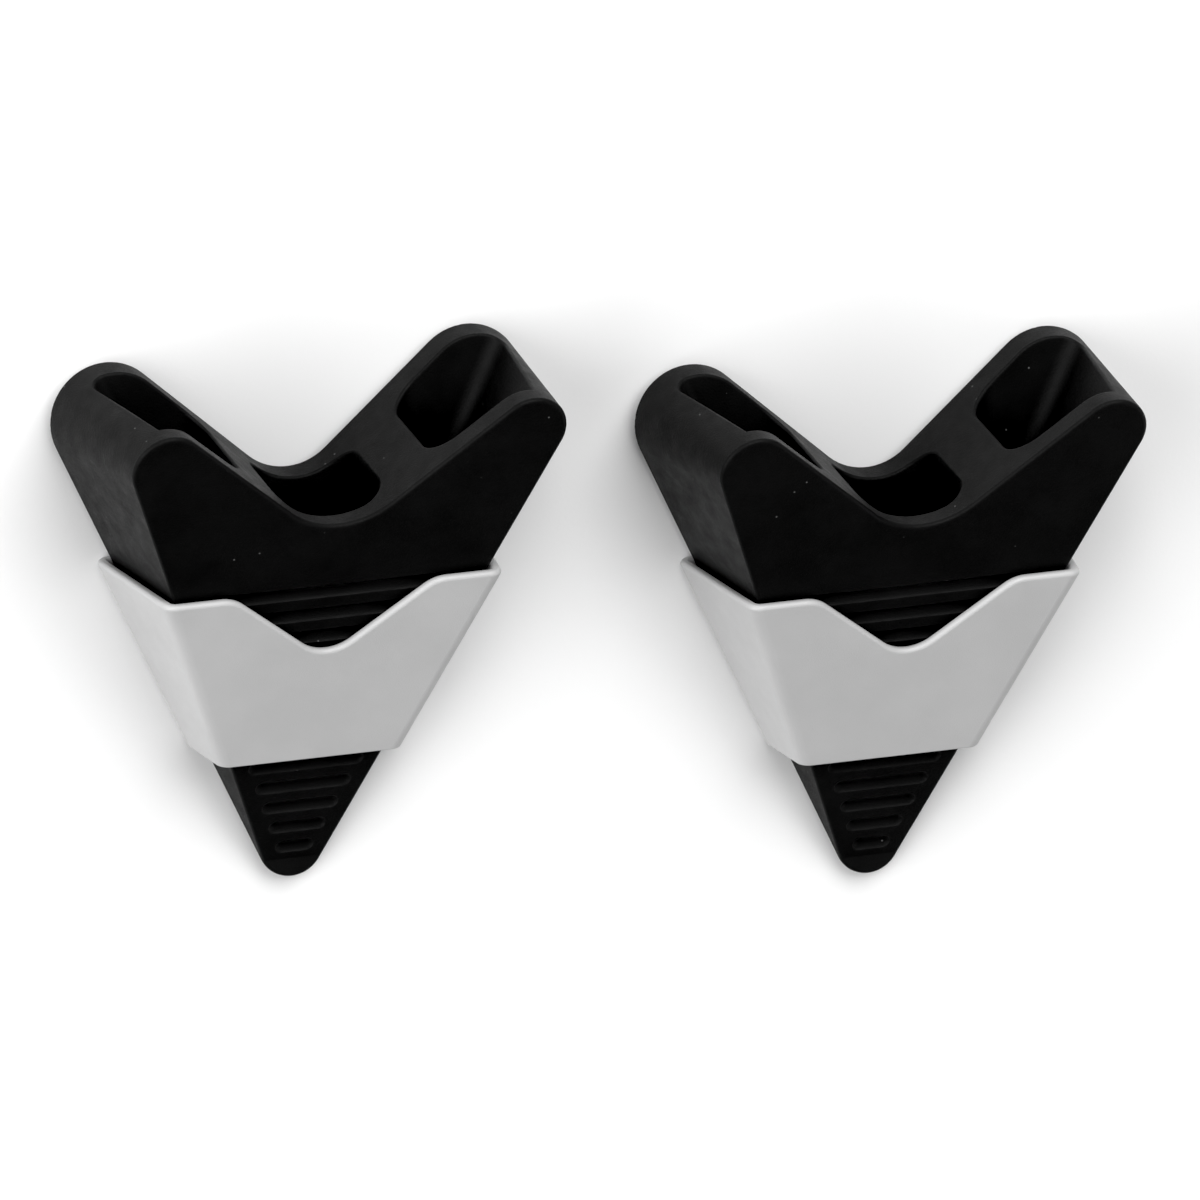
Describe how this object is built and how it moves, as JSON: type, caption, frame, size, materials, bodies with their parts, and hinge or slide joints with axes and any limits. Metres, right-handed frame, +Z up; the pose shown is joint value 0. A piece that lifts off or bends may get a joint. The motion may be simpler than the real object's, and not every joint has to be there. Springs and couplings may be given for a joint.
{
  "type": "pair of skate blade guards",
  "caption": "Pair of compact V-shaped rubber skate blade guards, each with open pockets in its saddle top, a grooved grip face and a hard tapered sleeve that slides off over the tip.",
  "frame": {"origin": "centre of the pair's bounding box in X and Y, on the table plane under the sleeves", "axes": "+X across the pair, from the left guard to the right one; +Y from the guards' tips to their arms; +Z up, out of the sloping grip faces"},
  "size_m": [0.2444, 0.1366, 0.0487],
  "materials": {
    "guard_rubber": "matte",
    "sleeve_plastic": "satin"
  },
  "bodies": {
    "left_guard": {"left_guard_body": "guard_rubber"},
    "left_sleeve": {"left_slide_sleeve": "sleeve_plastic"},
    "right_guard": {"right_guard_body": "guard_rubber"},
    "right_sleeve": {"right_slide_sleeve": "sleeve_plastic"}
  },
  "joints": [
    {"name": "left_sleeve_slide", "type": "slide", "parent": "left_guard", "child": "left_sleeve", "axis": [0, -1, 0], "range_m": [0, 0.085]},
    {"name": "right_guard_apart", "type": "slide", "parent": "left_guard", "child": "right_guard", "axis": [1, 0, 0], "range_m": [0, 0.06]},
    {"name": "right_sleeve_slide", "type": "slide", "parent": "right_guard", "child": "right_sleeve", "axis": [0, -1, 0], "range_m": [0, 0.085]}
  ]
}
